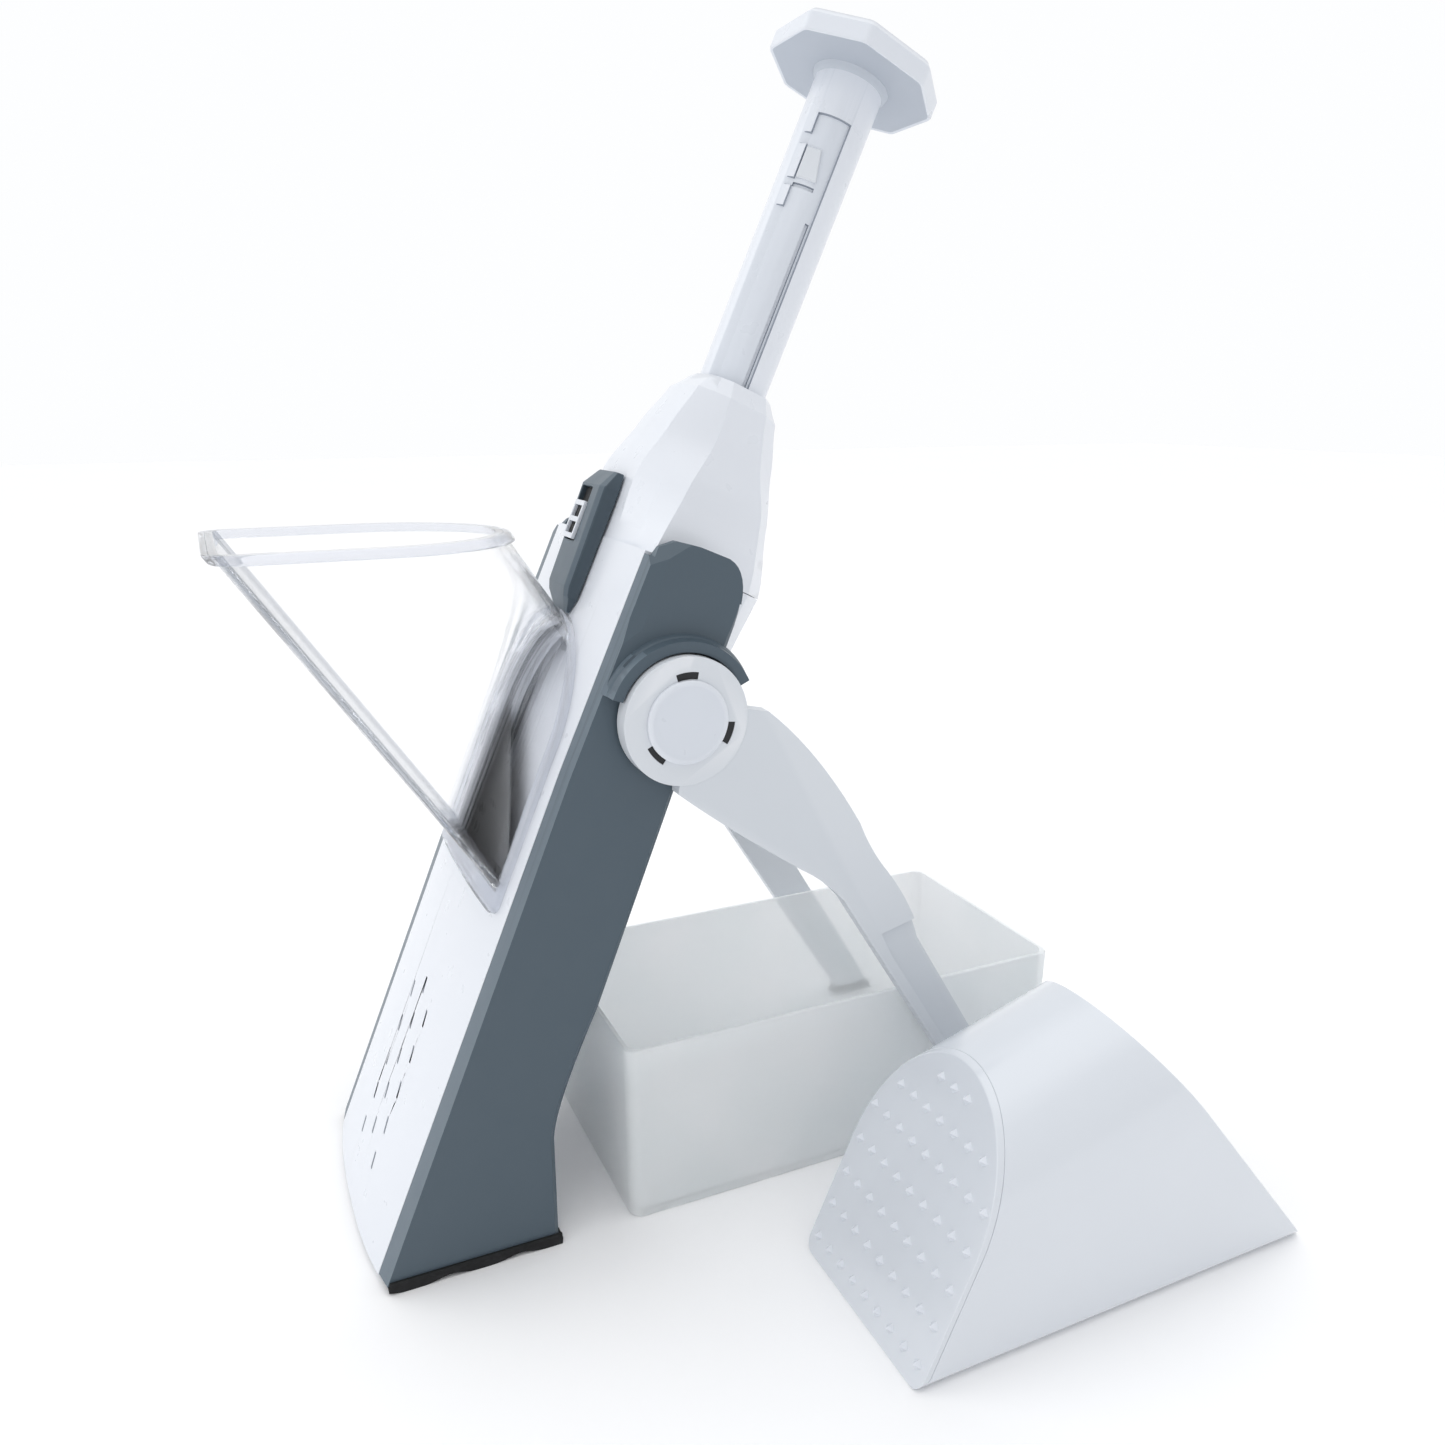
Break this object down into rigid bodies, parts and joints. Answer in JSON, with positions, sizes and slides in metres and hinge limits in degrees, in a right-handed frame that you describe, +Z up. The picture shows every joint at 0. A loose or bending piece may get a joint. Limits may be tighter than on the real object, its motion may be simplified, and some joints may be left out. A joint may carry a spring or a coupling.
{
  "type": "mandoline slicer",
  "caption": "Free-standing push-down vegetable slicer: leaning body with clear feed chute, spring-loaded plunger and blade carriage, folding leg, catch tray and toothed food pusher.",
  "frame": {"origin": "on the table, under the middle of the bounding box of the slicer with its tray and pusher beside it", "axes": "+Z up from the table, +Y towards the folding leg and tray, -Y towards the feed chute, +X towards the pusher"},
  "size_m": [0.2284, 0.3316, 0.4136],
  "materials": {
    "white": "smooth cool white ABS, semi-gloss",
    "slate": "dark slate grey ABS, fine satin texture",
    "grey": "mid grey moulded plastic, satin",
    "black_rubber": "matt black rubber",
    "black_plastic": "satin black plastic",
    "steel": "bright stainless steel, finely brushed",
    "clear": "clear polished plastic",
    "frosted": "frosted translucent plastic"
  },
  "bodies": {
    "frame": {"front_housing": "white", "rear_cover": "white", "side_cover_right": "slate", "side_cover_left": "slate", "upper_bracket": "grey", "lower_bracket": "grey", "guide_rod_right": "steel", "guide_rod_left": "steel", "plate_guide_right": "grey", "plate_guide_left": "grey", "return_spring_right": "steel", "return_spring_left": "steel", "outlet_ramp": "white", "selector_housing": "slate", "foot_pad_right": "black_rubber", "foot_pad_left": "black_rubber", "rear_screw_1": "steel", "rear_screw_2": "steel", "rear_screw_3": "steel", "rear_screw_4": "steel", "pivot_pin_right": "grey", "pivot_pin_left": "grey"},
    "plunger": {"plunger_tube": "white", "plunger_knob": "white", "plunger_catch": "white", "plunger_stem": "grey", "blade_carriage": "grey", "slicing_blade": "steel", "julienne_comb": "steel", "blade_screw_right": "steel", "blade_screw_left": "steel"},
    "selector": {"selector_slider": "black_plastic"},
    "dial": {"thickness_dial": "slate", "thickness_cam": "grey"},
    "plate": {"thickness_plate": "grey"},
    "legs": {"leg_arm_right": "white", "leg_arm_left": "white", "leg_cross_plate": "white", "leg_cap_right": "white", "leg_cap_left": "white", "leg_foot_right": "black_rubber", "leg_foot_left": "black_rubber"},
    "chute": {"feed_chute": "clear"},
    "tray": {"catch_tray": "frosted"},
    "pusher": {"pusher_shell": "white", "pusher_face": "white"}
  },
  "joints": [
    {"name": "plunger_press", "type": "slide", "parent": "frame", "child": "plunger", "axis": [0, -0.4067, -0.9135], "range_m": [0, 0.095], "stiffness_N_per_m": 60, "springref_m": -0.07, "deforming": ["return_spring_right", "return_spring_left"]},
    {"name": "leg_fold", "type": "hinge", "parent": "frame", "child": "legs", "pos_m": [-0.04885, -0.02935, 0.18878], "axis": [-1, 0, 0], "range_deg": [0, 58]},
    {"name": "selector_slide", "type": "slide", "parent": "frame", "child": "selector", "axis": [0, 0.4067, 0.9135], "range_m": [0, 0.004]},
    {"name": "thickness_turn", "type": "hinge", "parent": "frame", "child": "dial", "pos_m": [-0.10885, -0.01704, 0.22873], "axis": [-1, 0, 0], "range_deg": [0, 180.05]},
    {"name": "thickness_plate_slide", "type": "slide", "parent": "frame", "child": "plate", "axis": [0, 0.9135, -0.4067], "range_m": [0, 0.008]},
    {"name": "chute_release", "type": "slide", "parent": "frame", "child": "chute", "axis": [0, -0.9135, 0.4067], "range_m": [0, 0.06]},
    {"name": "tray_slide", "type": "slide", "parent": "frame", "child": "tray", "axis": [0, 1, 0], "range_m": [0, 0.15]},
    {"name": "pusher_lift", "type": "slide", "parent": "frame", "child": "pusher", "axis": [0, 0, 1], "range_m": [0, 0.12]}
  ],
  "couplings": [
    {"joint": "thickness_turn", "follows": "thickness_plate_slide", "rad_per_m": 392.7}
  ]
}
